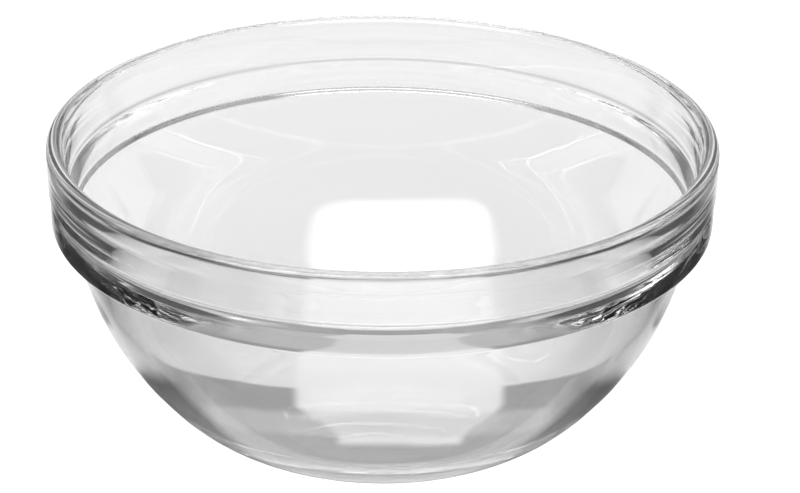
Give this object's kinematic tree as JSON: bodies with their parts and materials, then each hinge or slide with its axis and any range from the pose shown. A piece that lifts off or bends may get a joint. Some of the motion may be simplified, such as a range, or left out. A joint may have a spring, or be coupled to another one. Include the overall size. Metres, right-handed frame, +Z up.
{
  "type": "prep bowl",
  "caption": "Stackable round bowl of clear pressed glass: upright rim band over a stepped ring, rounded body tapering to a flat foot.",
  "frame": {"origin": "centre of the flat foot, on the table", "axes": "+Z up along the bowl's axis of turning; X and Y level; the picture is taken from the -Y side"},
  "size_m": [0.14, 0.14, 0.065],
  "materials": {
    "glass": "clear, fire-polished pressed glass"
  },
  "bodies": {
    "root": {"bowl": "glass"}
  },
  "joints": []
}
